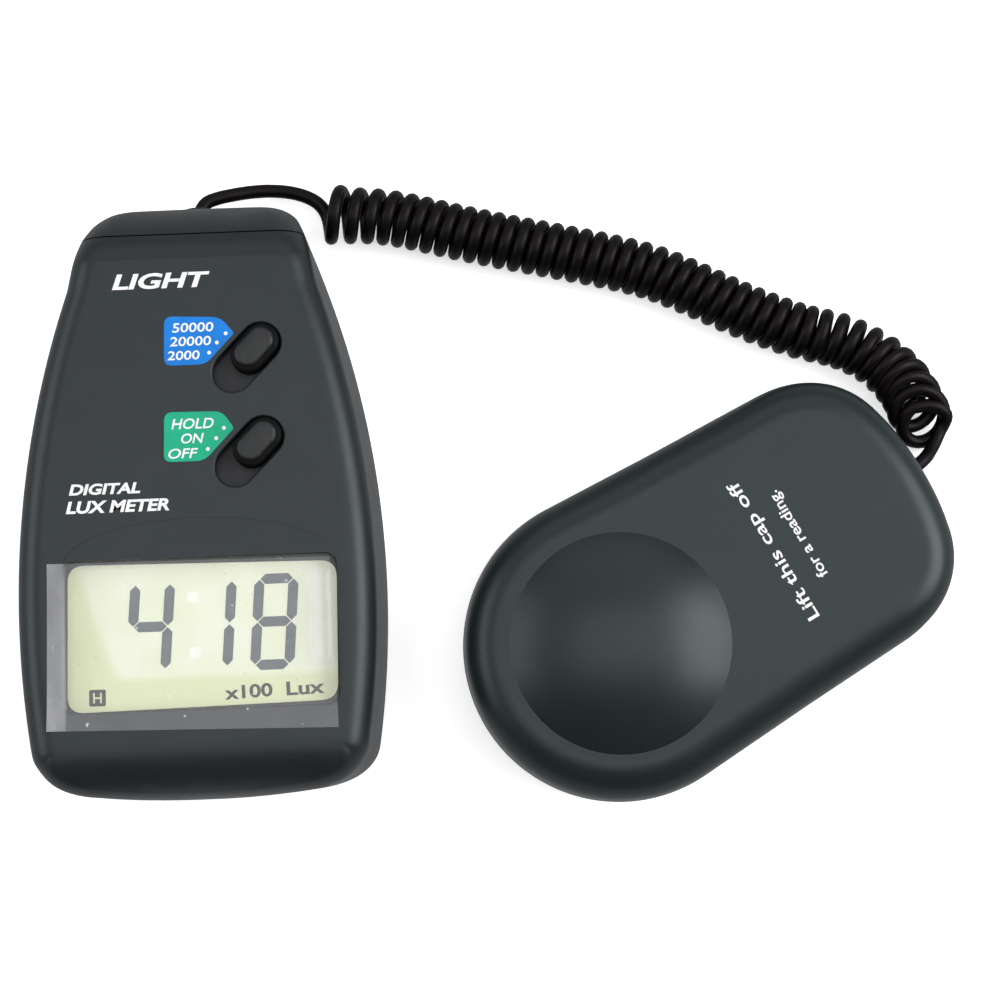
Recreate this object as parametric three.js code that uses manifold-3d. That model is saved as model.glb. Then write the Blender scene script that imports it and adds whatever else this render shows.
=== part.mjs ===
// Hand-held light meter: a meter unit, and a capped light sensor on a curly cord.
// Millimetres. The origin is the centre of the meter's rear face, +Y runs along the meter towards its
// cord end, +X to its right and +Z out of its display. Both units lie on the plane z = 0.
import * as THREE from "three";
import { mergeVertices } from "three/addons/utils/BufferGeometryUtils.js";
import Module from "manifold-3d";

const wasm = await Module();
wasm.setup();

// ---- Driving dimensions ----------------------------------------------------------------------

const GAP = 0.3; // between pieces that touch

const METER = {
  thickness: 28, // rear face to front face
  wall: 2,
  sideRadius: 187, // radius of the long, gently bowed sides
  widest: [35.2, -20], // where a side is furthest from the middle
  sideFrom: -49.5, // the bowed side's lower and upper ends
  sideTo: 53,
  bottom: -58.1,
  top: 58.2,
  edge: 4.5, // rounding of the front face's edge
  rearEdge: 2.5, // rounding of the rear face's edge
  endRadius: 12, // rounding of the end under the display
  seamZ: 13, // parting line along the sides
  seamY: 49.5, // parting line across the cord end
};
const BOSS = { radius: 3.1, hole: 1.5, places: [[-25, -50.3], [25, -50.3], [-15, 41], [15, 41]] };
const BOARD = { bottom: 17.4, top: 19, inset: 4, screws: [[-17, 26], [-17, 5]] };
const LENS = { x: 0, y: -29.3, width: 56, height: 33, bottom: 26.5, top: 27.5 };
const OPENING = { x: 0.9, y: -27.5, width: 50.8, height: 26.4 };
const LCD = { x: 0.9, y: -28.5, width: 54, height: 31, bottom: 22.6, top: 24.6 };
const FILM = { x: -0.9, y: -29.4, width: 53, height: 31.8, bottom: 27.6, top: 27.75 };

const SLOT = { length: 15.3, width: 7.6, turn: THREE.MathUtils.degToRad(46) };
const SWITCHES = { range: [10.7, 24.5], power: [10.8, 6.5] };
const SLIDER_TRAVEL = 4.66; // three detents, one at each end of the travel
const CAN = { length: 18, width: 9.4, bottom: 19.6, top: 24.2, sheet: 0.5 };
// Heights of a slider, from its foot in the can to its grip above the cover.
const SLIDER = {
  foot: [21.2, 23.4], stem: [23.3, 25], skirt: [24.8, 25.6], base: [25.5, 28.6], grip: [28, 30],
};

const BAY = { x0: -18, x1: 18, y0: -45.7, y1: -34.3, top: 14.3, wall: 1.5 };
const DOOR = { halfWidth: 20.4, y1: -32.3, thickness: 1.9 };
const CELL = { radius: 5.15, length: 28.5, z: 8.2, y: -40, x0: -11.6, cap: 1.8 };
const SPRING = { turns: 3.5, length: 4.2, wide: 3.6, narrow: 2.4, wire: 0.35 };

const CORD = { wire: 1.35, coil: 5.5, exitX: -0.6, exitZ: 6.5 };
const BUSH = { flange: 0.7, outer: 3.6, neck: 2.7, meterLength: 4, sensorLength: 3.8, bore: 3 };

const SENSOR = {
  centre: [96, -22.6],
  turn: THREE.MathUtils.degToRad(28.7),
  roundRadius: 30, // the round end, which the dome shares its centre with
  roundCentre: -19,
  end: 49.5, // the cord end
  seam: 11, // top of the base
  topInset: 2.2,
  top: 17.5, // top of the upper shell
  wall: 1.8,
  screws: [[-42.4, 0], [30, 18], [30, -18]],
};
const CAP = { wall: 1.6, top: 21.5, edge: 4.5, domeRadius: 21, domeHeight: 6 };
const DIFFUSER = { radius: 17.9, flange: 19.8, bottom: 14.2, neck: 17.8, top: 24, wall: 1.5 };
const FILTER = { radius: 9, heights: [11.6, 12.8] };
const PHOTODIODE = { radius: 6, heights: [8.3, 11.3] };
const SENSOR_BOARD = { x: [-33, -5], y: [-12, 12], heights: [6.4, 8] };

// ---- Solids ----------------------------------------------------------------------------------

function solid(geometry) {
  const bare = new THREE.BufferGeometry();
  bare.setAttribute("position", geometry.getAttribute("position"));
  if (geometry.index) bare.setIndex(geometry.index);
  const merged = mergeVertices(bare, 1e-4);
  return new wasm.Manifold(
    new wasm.Mesh({
      numProp: 3,
      vertProperties: merged.attributes.position.array,
      triVerts: new Uint32Array(merged.index.array),
    }),
  );
}

function geometryOf(shape) {
  const { vertProperties, triVerts } = shape.getMesh();
  const geometry = new THREE.BufferGeometry();
  geometry.setAttribute("position", new THREE.BufferAttribute(vertProperties, 3));
  geometry.setIndex(new THREE.BufferAttribute(triVerts, 1));
  geometry.computeVertexNormals();
  return geometry;
}

const joined = (first, ...rest) => rest.reduce((a, b) => a.add(b), first);
const cut = (first, ...rest) => rest.reduce((a, b) => a.subtract(b), first);

function box([x0, x1], [y0, y1], [z0, z1]) {
  const geometry = new THREE.BoxGeometry(x1 - x0, y1 - y0, z1 - z0);
  return solid(geometry.translate((x0 + x1) / 2, (y0 + y1) / 2, (z0 + z1) / 2));
}

// An upright cylinder.
function post([x, y], radius, [z0, z1], sides = 16) {
  const geometry = new THREE.CylinderGeometry(radius, radius, z1 - z0, sides);
  return solid(geometry.rotateX(Math.PI / 2).translate(x, y, (z0 + z1) / 2));
}

// A cylinder lying along X or Y.
function bar(axis, radius, [from, to], [across, z], sides = 16) {
  const geometry = new THREE.CylinderGeometry(radius, radius, to - from, sides);
  const middle = (from + to) / 2;
  if (axis === "x") return solid(geometry.rotateZ(Math.PI / 2).translate(middle, across, z));
  return solid(geometry.translate(across, middle, z));
}

// A flat outline made upright between two heights, with both rims rounded by `rim`.
function prism(points, [z0, z1], rim = 0, steps = 3) {
  const geometry = new THREE.ExtrudeGeometry(new THREE.Shape(points), {
    depth: z1 - z0 - 2 * rim,
    bevelEnabled: rim > 0,
    bevelThickness: rim,
    bevelSize: rim,
    bevelOffset: -rim,
    bevelSegments: steps,
  });
  return solid(geometry.translate(0, 0, z0 + rim));
}

// A side view outline, drawn in (y, z), made wide along X.
function swept(points, [x0, x1]) {
  const geometry = new THREE.ExtrudeGeometry(new THREE.Shape(points), {
    depth: x1 - x0,
    bevelEnabled: false,
  });
  const turn = new THREE.Matrix4().makeBasis(
    new THREE.Vector3(0, 1, 0),
    new THREE.Vector3(0, 0, 1),
    new THREE.Vector3(1, 0, 0),
  );
  return solid(geometry.applyMatrix4(turn).translate(x0, 0, 0));
}

// A profile of [radius, height] pairs turned about the vertical line through (x, y).
function turned(profile, [x, y] = [0, 0], sides = 24) {
  const points = profile.map(([radius, height]) => new THREE.Vector2(radius, height));
  const geometry = new THREE.LatheGeometry(points, sides).rotateX(Math.PI / 2);
  return solid(geometry.translate(x, y, 0));
}

// A round or many-sided wire along a smooth path.
function wire(path, radius, sides, steps) {
  const section = new THREE.Shape();
  for (let i = 0; i < sides; i++) {
    const angle = (i / sides) * 2 * Math.PI;
    section[i ? "lineTo" : "moveTo"](radius * Math.cos(angle), radius * Math.sin(angle));
  }
  return new THREE.ExtrudeGeometry(section, { extrudePath: path, steps, bevelEnabled: false });
}

const curve = (places) =>
  new THREE.CatmullRomCurve3(places.map((place) => new THREE.Vector3(...place)));

// Drops a point that repeats the one before it.
const withoutRepeats = (points) =>
  points.filter((point, i) => i === 0 || point.distanceTo(points[i - 1]) > 1e-3);

// Moves each point of a closed convex outline inwards, square to the outline.
function inset(points, distance) {
  return points.map((point, i) => {
    const before = points[(i + points.length - 1) % points.length];
    const after = points[(i + 1) % points.length];
    const along = after.clone().sub(before).normalize();
    return new THREE.Vector2(point.x - along.y * distance, point.y + along.x * distance);
  });
}

// Closes a half outline, drawn anticlockwise at x > 0 from the axis to the axis, across the axis.
function mirrored(half) {
  const other = half.slice(1, -1).reverse();
  return [...half, ...other.map((point) => new THREE.Vector2(-point.x, point.y))];
}

// Points of an arc about a centre, from one angle to another in degrees.
function arc([x, y], radius, from, to, steps) {
  return Array.from({ length: steps + 1 }, (_, i) => {
    const angle = THREE.MathUtils.degToRad(from + ((to - from) * i) / steps);
    return [x + radius * Math.cos(angle), y + radius * Math.sin(angle)];
  });
}

// A straight slot with round ends, centred on the origin and lying along X.
function stadium(length, width, steps = 6) {
  const half = (length - width) / 2;
  const right = arc([half, 0], width / 2, -90, 90, steps);
  const left = arc([-half, 0], width / 2, 90, 270, steps);
  return [...right, ...left].map(([x, y]) => new THREE.Vector2(x, y));
}

// ---- The tree --------------------------------------------------------------------------------

const lightMeter = new THREE.Group();
const meterUnit = new THREE.Group();
const sensorUnit = new THREE.Group();
sensorUnit.position.set(SENSOR.centre[0], SENSOR.centre[1], 0);
sensorUnit.rotation.z = SENSOR.turn;
lightMeter.add(meterUnit, sensorUnit);

const MATERIALS = {
  meterPlastic: [0x44464a, 0.5, 0],
  sensorPlastic: [0x384244, 0.5, 0],
  knobPlastic: [0x2c2e30, 0.45, 0],
  clear: [0xdfe6e4, 0.1, 0],
  film: [0xe8eef0, 0.2, 0],
  lcd: [0xd3dabe, 0.25, 0],
  frame: [0x1c1d1e, 0.6, 0],
  board: [0x1f6b3a, 0.5, 0],
  chip: [0x161616, 0.5, 0],
  rubber: [0x1a1719, 0.7, 0],
  steel: [0xb9bcc0, 0.35, 1],
  nickel: [0xc8c4b6, 0.3, 1],
  phenolic: [0x7a5230, 0.7, 0],
  cell: [0x8d2f2a, 0.4, 0.2],
  white: [0xf1f1ec, 0.55, 0],
  filter: [0x2f7d63, 0.15, 0],
  trimmer: [0x2456a8, 0.5, 0],
};

function piece(parent, name, shape, look) {
  const [color, roughness, metalness] = MATERIALS[look];
  const geometry = shape.isBufferGeometry ? shape : geometryOf(shape);
  const material = new THREE.MeshStandardMaterial({ color, roughness, metalness });
  const mesh = new THREE.Mesh(geometry, material);
  mesh.name = name;
  parent.add(mesh);
  return mesh;
}

// ---- Meter: covers ---------------------------------------------------------------------------

function meterOutline() {
  const { sideRadius, widest, sideFrom, sideTo, bottom, top } = METER;
  const centreX = widest[0] - sideRadius;
  const from = Math.asin((sideFrom - widest[1]) / sideRadius);
  const to = Math.asin((sideTo - widest[1]) / sideRadius);
  const half = new THREE.Path();
  half.moveTo(0, bottom);
  half.quadraticCurveTo(11, bottom, 20, bottom + 1.1);
  half.quadraticCurveTo(31.3, bottom + 2.1, centreX + sideRadius * Math.cos(from), sideFrom);
  half.absarc(centreX, widest[1], sideRadius, from, to, false);
  half.quadraticCurveTo(18.8, top - 0.9, 12.5, top - 0.3);
  half.lineTo(0, METER.top);
  return mirrored(withoutRepeats(half.getPoints(3)));
}

// Side view of the closed meter: a full round under the display, a slope at the cord end.
function meterSideView(inward) {
  const { bottom, top, thickness, endRadius } = METER;
  const rearEdge = Math.max(METER.rearEdge - inward, 0.5);
  const low = inward;
  const high = thickness - inward;
  const outline = [
    [bottom + inward + rearEdge, low],
    [top - inward - rearEdge, low],
    [top - inward, low + rearEdge],
    [top - inward, 11],
    [top - 2.7 - inward, 17],
    [50 - inward, 25.6 - inward],
    [44 - inward, high],
    ...arc([bottom + endRadius, thickness - endRadius], endRadius - inward, 90, 180, 5),
    [bottom + inward, low + rearEdge],
  ];
  return outline.map(([y, z]) => new THREE.Vector2(y, z));
}

// The closed meter's body, or the space inside it when drawn `inward` by the wall.
function meterBody(inward, rim) {
  const outline = inset(meterOutline(), inward);
  const plan = prism(outline, [-20, METER.thickness - inward], rim);
  return plan.intersect(swept(meterSideView(inward), [-50, 50]));
}

const meterOuter = meterBody(0, METER.edge);
const meterInner = meterBody(METER.wall, METER.edge - METER.wall);
const frontSide = box([-50, 50], [-70, METER.seamY - GAP / 2], [METER.seamZ + GAP / 2, 40]);
const rearLow = box([-50, 50], [-70, 70], [-5, METER.seamZ - GAP / 2]);
const rearEnd = box([-50, 50], [METER.seamY + GAP / 2, 70], [-5, 40]);

// A slot outline turned and moved to its switch.
function slotPrism(points, [x, y], heights) {
  const place = new THREE.Vector2(x, y);
  const turnedPoints = points.map((point) =>
    point.clone().rotateAround(new THREE.Vector2(), SLOT.turn).add(place));
  return prism(turnedPoints, heights);
}

function plate({ x, y, width, height }, heights, grow = 0) {
  const w = width / 2 + grow;
  const h = height / 2 + grow;
  return box([x - w, x + w], [y - h, y + h], heights);
}

function frontCover() {
  const underside = METER.thickness - METER.wall;
  const bosses = BOSS.places.map((place) => post(place, BOSS.radius, [METER.seamZ + GAP, underside + 0.2]));
  const stubs = BOARD.screws.map((place) => post(place, 2.5, [BOARD.top + GAP, underside + 0.2]));
  const ledge = plate(LENS, [LENS.bottom - 1.6, underside + 0.2], 1);
  const shell = joined(meterOuter.intersect(frontSide).subtract(meterInner),
    ...[...bosses, ...stubs, ledge].map((part) => part.intersect(meterOuter)));
  const holes = BOSS.places.map((place) => post(place, BOSS.hole, [0, 22], 10));
  const pilots = BOARD.screws.map((place) => post(place, 1.3, [0, 24.6], 10));
  const slots = Object.values(SWITCHES).map((place) =>
    slotPrism(stadium(SLOT.length, SLOT.width), place, [20, 40]));
  const pocket = plate(LENS, [LENS.bottom - GAP, 40], GAP);
  const opening = plate(OPENING, [20, 40]);
  return cut(shell, pocket, opening, ...holes, ...pilots, ...slots);
}

function rearCover() {
  const { x0, x1, y0, y1, top, wall } = BAY;
  const shell = meterOuter.intersect(rearLow.add(rearEnd)).subtract(meterInner);
  const bosses = BOSS.places.map((place) => post(place, BOSS.radius + 0.5, [1, METER.seamZ - GAP / 2]));
  const doorBed = box([-DOOR.halfWidth - 1.8, DOOR.halfWidth + 1.8], [-70, DOOR.y1 + 1.8], [0, 3.9]);
  const bay = box([x0 - wall, x1 + wall], [y0 - wall, y1 + wall], [1, top + wall]);
  const full = joined(shell, ...bosses, doorBed.intersect(meterOuter), bay);
  const doorway = box([-DOOR.halfWidth - GAP, DOOR.halfWidth + GAP], [-70, DOOR.y1 + GAP],
    [-5, DOOR.thickness + GAP]);
  const bayInside = box([x0, x1], [y0, y1], [0, top]);
  const holes = BOSS.places.map((place) => post(place, BOSS.hole, [-5, 20], 10));
  const sinks = BOSS.places.map((place) => post(place, 2.7, [-5, 3]));
  const cordHole = bar("y", BUSH.bore, [50, 70], [CORD.exitX, CORD.exitZ]);
  return cut(full, doorway, bayInside, cordHole, ...holes, ...sinks);
}

function batteryDoor() {
  const blank = box([-DOOR.halfWidth, DOOR.halfWidth], [-70, DOOR.y1], [0, DOOR.thickness]);
  const ribs = [];
  for (let i = 0; i < 5; i++) {
    const y = -38 - i * 2.2;
    ribs.push(box([-8, 8], [y - 0.5, y + 0.5], [-1, 0.5]));
  }
  return cut(blank.intersect(meterOuter), ...ribs);
}

piece(meterUnit, "front_cover", frontCover(), "meterPlastic");
piece(meterUnit, "rear_cover", rearCover(), "meterPlastic");
piece(meterUnit, "battery_door", batteryDoor(), "meterPlastic");

// A pan-head screw driven upwards.
function screw(place, headRadius, headHeights, tip) {
  const [, shoulder] = headHeights;
  const head = post(place, headRadius, headHeights, 14);
  const slot = box([place[0] - 0.35, place[0] + 0.35], [place[1] - 9, place[1] + 9],
    [headHeights[0] - 1, headHeights[0] + 0.6]);
  return cut(head.add(post(place, 1.2, [shoulder - 0.1, tip], 8)), slot);
}

BOSS.places.forEach((place, i) => {
  piece(meterUnit, `case_screw_${i + 1}`, screw(place, 2.3, [0.9, 2.7], 20), "steel");
});

// ---- Meter: display --------------------------------------------------------------------------

piece(meterUnit, "display_window", plate(LENS, [LENS.bottom, LENS.top]), "clear");
piece(meterUnit, "display_film", plate(FILM, [FILM.bottom, FILM.top]), "film");
piece(meterUnit, "lcd_panel", plate(LCD, [LCD.bottom, LCD.top]), "lcd");
piece(meterUnit, "lcd_frame",
  cut(plate(LCD, [BOARD.top + GAP, LCD.top - 0.1], 1.8), plate(LCD, [10, 40], GAP)), "frame");
piece(meterUnit, "zebra_strip",
  box([LCD.x - 25, LCD.x + 25], [LCD.y - 14.6, LCD.y - 12.4], [BOARD.top + GAP, LCD.bottom - GAP]),
  "rubber");

// ---- Meter: circuit board --------------------------------------------------------------------

function mainBoard() {
  const blank = prism(inset(meterOutline(), BOARD.inset), [BOARD.bottom, BOARD.top]);
  const trimmed = blank.intersect(box([-50, 50], [-54, 46], [0, 40]));
  const clear = BOSS.places.map((place) => post(place, BOSS.radius + 0.5, [0, 40]));
  const holes = BOARD.screws.map((place) => post(place, 1.5, [0, 40], 10));
  return cut(trimmed, ...clear, ...holes);
}

piece(meterUnit, "main_board", mainBoard(), "board");
piece(meterUnit, "converter_chip", box([-20, 4], [-14, -1], [14, BOARD.bottom - GAP]), "chip");
[[12, -4], [20, -4]].forEach((place, i) => {
  const body = post(place, 3.2, [13.6, BOARD.bottom - GAP]);
  const notch = box([place[0] - 1.8, place[0] + 1.8], [place[1] - 0.4, place[1] + 0.4], [13, 14.3]);
  piece(meterUnit, `calibration_trimmer_${i + 1}`, cut(body, notch), "trimmer");
});
BOARD.screws.forEach((place, i) => {
  piece(meterUnit, `board_screw_${i + 1}`,
    screw(place, 2.2, [15.4, BOARD.bottom - GAP], 24), "steel");
});

// ---- Meter: the two slide switches -----------------------------------------------------------

// Pieces of a switch are drawn along X about its own centre.
function switchCan() {
  const { length, width, bottom, top, sheet } = CAN;
  const outer = box([-length / 2, length / 2], [-width / 2, width / 2], [bottom, top]);
  const inner = box([-20, 20], [-width / 2 + sheet, width / 2 - sheet], [0, top - sheet]);
  return cut(outer, inner, box([-5.4, 5.4], [-2.2, 2.2], [0, 40]));
}

function switchBase() {
  const half = CAN.width / 2 - CAN.sheet - GAP;
  return box([-8.6, 8.6], [-half, half], [CAN.bottom, CAN.bottom + 1.2]);
}

// Foot inside the can, stem, skirt under the cover, and the grip in the cover's slot.
function sliderKnob() {
  const foot = box([-4.2, 4.2], [-3.6, 3.6], SLIDER.foot);
  const stem = box([-2.6, 2.6], [-1.7, 1.7], SLIDER.stem);
  const skirt = prism(stadium(21, 9.2), SLIDER.skirt);
  const base = prism(stadium(10, 6.8), SLIDER.base);
  const grip = prism(stadium(9, 5.8), SLIDER.grip, 0.8, 2);
  const ribs = [];
  for (let i = -3; i <= 3; i++) {
    ribs.push(box([i * 0.9 - 0.2, i * 0.9 + 0.2], [-1.8, 1.8], [SLIDER.grip[1] - 0.25, 31]));
  }
  return cut(joined(foot, stem, skirt, base, grip), ...ribs);
}

for (const [name, [x, y]] of Object.entries(SWITCHES)) {
  const place = new THREE.Group();
  place.position.set(x, y, 0);
  place.rotation.z = SLOT.turn;
  meterUnit.add(place);
  piece(place, `${name}_switch_base`, switchBase(), "phenolic");
  piece(place, `${name}_switch_can`, switchCan(), "steel");
  const knob = piece(place, `${name}_knob`, sliderKnob(), "knobPlastic");
  knob.position.x = SLIDER_TRAVEL / 2;
}

// ---- Meter: battery --------------------------------------------------------------------------

function batteryCell() {
  const { radius, length, z, y, x0 } = CELL;
  const body = bar("x", radius, [x0, x0 + length - 1], [y, z], 20);
  return body.add(bar("x", CELL.cap, [x0 + length - 1.2, x0 + length], [y, z], 12));
}

function batterySpring() {
  const count = SPRING.turns * 8;
  const places = [];
  for (let i = 0; i <= count; i++) {
    const angle = (i / 8) * 2 * Math.PI;
    const radius = THREE.MathUtils.lerp(SPRING.wide, SPRING.narrow, i / count);
    const x = BAY.x0 + 1 + (SPRING.length * i) / count;
    places.push([x, CELL.y + radius * Math.cos(angle), CELL.z + radius * Math.sin(angle)]);
  }
  return wire(curve(places), SPRING.wire, 5, count);
}

piece(meterUnit, "battery_cell", batteryCell(), "cell");
piece(meterUnit, "battery_spring", batterySpring(), "nickel");
piece(meterUnit, "battery_contact", box([17.2, 17.7], [-44, -36], [3, 13]), "nickel");

// ---- Cord ------------------------------------------------------------------------------------

// A rubber bush with a flange each side of the wall, turned about the cord's axis.
function bush(length) {
  const { flange, outer, neck } = BUSH;
  const hole = CORD.wire + GAP;
  const profile = [
    [hole, 0], [outer, 0], [outer, flange], [neck, flange], [neck, length - flange],
    [outer, length - flange], [outer, length], [hole, length], [hole, 0],
  ];
  return new THREE.LatheGeometry(profile.map(([r, h]) => new THREE.Vector2(r, h)), 16);
}

const meterBush = piece(meterUnit, "meter_cord_bush", solid(bush(BUSH.meterLength)), "rubber");
meterBush.position.set(CORD.exitX, METER.top - METER.wall - 1, CORD.exitZ);

// From inside the meter, out of its end and down beside it to the first turn of the coil.
const LEAD_FROM_METER = [
  [-0.6, 52.5, 6.5], [-0.6, 56, 6.5], [-0.5, 58.9, 6.5], [0.7, 60.9, 6.2], [3, 62, 5.6],
  [5.9, 62.8, 4.8], [9, 63.5, 3.8], [12.4, 63.9, 3], [15.6, 63.9, 2.7], [18.6, 63.3, 2.8],
  [21.2, 62.3, 3.1], [23.6, 61, 3.6],
];
// The coil's own middle line, lying on the table.
const COIL = [
  [24.4, 57.6, 5.7], [33, 57.1, 5.7], [40, 56, 5.7], [51.7, 52.9, 5.7], [61, 50.6, 5.7],
  [71, 48.3, 5.7], [81, 45.9, 5.7], [89.8, 43.3, 5.7], [98, 39.6, 5.7], [108, 34.6, 5.7],
  [118, 30.4, 5.7], [127.2, 27.6, 5.7], [134.2, 23.6, 5.7], [139, 18.2, 5.7], [141, 12, 5.7],
];
// From the last turn round into the cord end of the sensor.
const LEAD_TO_SENSOR = [
  [146.4, 11.6, 2.6], [146.5, 9.4, 2.2], [145.6, 7.2, 2.4], [144.2, 5.2, 3.6], [142.4, 3.3, 5.2],
  [140.2, 1.64, 6], [137.6, 0.2, 6], [134.8, -1.33, 6],
];

piece(lightMeter, "cord_lead_meter", wire(curve(LEAD_FROM_METER), CORD.wire, 8, 20), "rubber");
piece(lightMeter, "cord_coil", wire(curve(COIL), CORD.coil, 12, 36), "rubber");
piece(lightMeter, "cord_lead_sensor", wire(curve(LEAD_TO_SENSOR), CORD.wire, 8, 14), "rubber");

// ---- Sensor ----------------------------------------------------------------------------------

function sensorOutline() {
  const { roundRadius, roundCentre, end } = SENSOR;
  const half = new THREE.Path();
  half.moveTo(end, 0);
  half.quadraticCurveTo(end, 7, 48, 13);
  half.bezierCurveTo(46, 22.5, 38, 27.6, 29, 27.85);
  half.lineTo(6, 28.75);
  half.absarc(roundCentre, 0, roundRadius, THREE.MathUtils.degToRad(87), Math.PI, false);
  const upper = withoutRepeats(half.getPoints(5));
  const lower = upper.slice(1, -1).reverse().map((point) => new THREE.Vector2(point.x, -point.y));
  return [...upper, ...lower];
}

const outline = sensorOutline();
const cupola = [SENSOR.roundCentre, 0];

// Profile of a spherical cap of a base radius and height, standing on z, with a straight foot under it.
function capProfile(radius, height, z, foot, steps) {
  const sphere = (radius * radius + height * height) / (2 * height);
  const opening = THREE.MathUtils.radToDeg(Math.asin(radius / sphere));
  const dome = arc([0, z + height - sphere], sphere, 90 - opening, 90, steps);
  dome[steps][0] = 0;
  return [[0, z - foot], [radius, z - foot], ...dome];
}

function sensorBase() {
  const { seam, wall, end, screws } = SENSOR;
  const outer = prism(outline, [0, 30], 2.5).intersect(box([-60, 60], [-40, 40], [-1, seam]));
  const inner = prism(inset(outline, wall), [wall, 30]);
  const shell = cut(outer, inner);
  const bosses = screws.map((place) => post(place, 3.1, [1, seam - 0.1]));
  const sinks = screws.map((place) => post(place, 2.7, [-5, 2.7]));
  const holes = screws.map((place) => post(place, 1.5, [-5, 30], 10));
  const cordHole = bar("x", BUSH.bore, [end - 8, end + 8], [0, 6]);
  return cut(joined(shell, ...bosses), cordHole, ...sinks, ...holes);
}

function sensorTop() {
  const { seam, wall, top, topInset, screws } = SENSOR;
  const outer = prism(inset(outline, topInset), [seam + GAP, top]);
  const inner = prism(inset(outline, topInset + wall), [0, top - wall]);
  const posts = screws.map((place) => post(place, 2.8, [seam + GAP, top - wall + 0.1]));
  const holes = screws.map((place) => post(place, 1.5, [0, 15.2], 10));
  const mouth = post(cupola, DIFFUSER.radius + GAP, [0, 40], 32);
  return cut(joined(cut(outer, inner), ...posts), mouth, ...holes);
}

function diffuser() {
  const { radius, flange, bottom, neck, top, wall } = DIFFUSER;
  const outside = turned(capProfile(radius, top - neck, neck, neck - bottom, 5), cupola, 32);
  const rim = post(cupola, flange, [bottom, bottom + 1.2], 32);
  const inside = turned(capProfile(radius - wall, top - neck - wall * 0.8, neck - 0.3, 6, 5), cupola, 32);
  return cut(outside.add(rim), inside);
}

function sensorCap() {
  const { wall, top, edge, domeRadius, domeHeight } = CAP;
  const above = box([-60, 60], [-40, 40], [SENSOR.seam + GAP, 60]);
  const shell = prism(outline, [-20, top], edge).intersect(above);
  const dome = turned(capProfile(domeRadius, domeHeight, top, 1, 6), cupola, 32);
  const hollow = prism(inset(outline, wall), [-20, top - wall], edge - wall);
  const domeHollow = turned(capProfile(domeRadius - wall, domeHeight, top - wall, 1, 6), cupola, 32);
  return cut(shell.add(dome), hollow, domeHollow);
}

piece(sensorUnit, "sensor_base", sensorBase(), "sensorPlastic");
piece(sensorUnit, "sensor_top", sensorTop(), "sensorPlastic");
piece(sensorUnit, "diffuser_dome", diffuser(), "white");
piece(sensorUnit, "sensor_cap", sensorCap(), "sensorPlastic");
piece(sensorUnit, "filter_disc", post(cupola, FILTER.radius, FILTER.heights, 20), "filter");
piece(sensorUnit, "photodiode", post(cupola, PHOTODIODE.radius, PHOTODIODE.heights), "nickel");
piece(sensorUnit, "sensor_board", box(SENSOR_BOARD.x, SENSOR_BOARD.y, SENSOR_BOARD.heights), "board");
SENSOR.screws.forEach((place, i) => {
  piece(sensorUnit, `sensor_screw_${i + 1}`, screw(place, 2.3, [0.7, 2.4], 14.8), "steel");
});

const sensorBush = piece(sensorUnit, "sensor_cord_bush", solid(bush(BUSH.sensorLength)), "rubber");
sensorBush.rotation.z = -Math.PI / 2;
sensorBush.position.set(SENSOR.end - SENSOR.wall - 1, 0, 6);

export default lightMeter;
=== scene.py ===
import math
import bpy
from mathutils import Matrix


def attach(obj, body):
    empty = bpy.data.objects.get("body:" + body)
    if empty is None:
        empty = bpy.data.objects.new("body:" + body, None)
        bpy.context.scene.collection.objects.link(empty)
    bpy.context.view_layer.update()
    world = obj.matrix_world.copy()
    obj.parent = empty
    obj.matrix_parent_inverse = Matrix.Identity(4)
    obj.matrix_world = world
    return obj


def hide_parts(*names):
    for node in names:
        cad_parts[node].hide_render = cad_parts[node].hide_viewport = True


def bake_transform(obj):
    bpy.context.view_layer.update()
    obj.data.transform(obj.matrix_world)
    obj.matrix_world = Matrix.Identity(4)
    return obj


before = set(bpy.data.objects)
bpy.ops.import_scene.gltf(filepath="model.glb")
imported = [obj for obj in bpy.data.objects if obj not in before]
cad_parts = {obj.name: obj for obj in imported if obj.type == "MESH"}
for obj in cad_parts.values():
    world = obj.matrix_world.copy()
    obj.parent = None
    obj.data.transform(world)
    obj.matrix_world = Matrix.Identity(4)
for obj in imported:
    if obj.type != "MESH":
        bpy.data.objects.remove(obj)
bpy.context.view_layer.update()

from types import SimpleNamespace

import bpy
import numpy as np
from mathutils import Matrix, Vector
from mathutils.geometry import delaunay_2d_cdt

# Hand-held light meter: a meter unit, and a capped light sensor on a curly cord.
# Lengths are in millimetres in the object's own frame until a piece is finished, which turns them
# into metres. The meter's display faces +Z and its cord end +Y.

MM = 0.001
GAP = 0.3  # between pieces that touch

METER = SimpleNamespace(
    thickness=28.0, wall=2.0, bottom=-58.1, top=58.2, side_radius=187.0, widest=(35.2, -20.0),
    side_from=-49.5, side_to=53.0, rear_edge=2.5, side_fillet=5.4, end_fillet=1.5, end_radius=12.0,
    end_power=2.4, taper=1.4, draft=1.3, lean_end=50, lean_fade=10, slope_from=44.0, slope_drop=17.0,
    slope_power=1.6, seam_z=13.0, seam_y=49.5)
OPENING = SimpleNamespace(x=0.95, y=-27.2, width=51.3, height=28.3, corner=2.6, lip=0.3)
SLOT = SimpleNamespace(length=15.3, width=7.6, turn=math.radians(46), lip=0.45)
SWITCHES = dict(range=(10.7, 24.5), power=(10.8, 6.5))
SLIDER_TRAVEL = 4.66
SENSOR = SimpleNamespace(
    centre=(96.0, -22.6), turn=math.radians(28.7), round_centre=-19.0, round_radius=30.0, end=49.5,
    seam=11.0, top_inset=2.2, top=17.5, wall=1.8, cord_height=6.0)
CAP = SimpleNamespace(wall=1.6, top=21.5, fillet=7.0, taper=0.4, dome_radius=21.0, dome_height=6.0)
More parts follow.
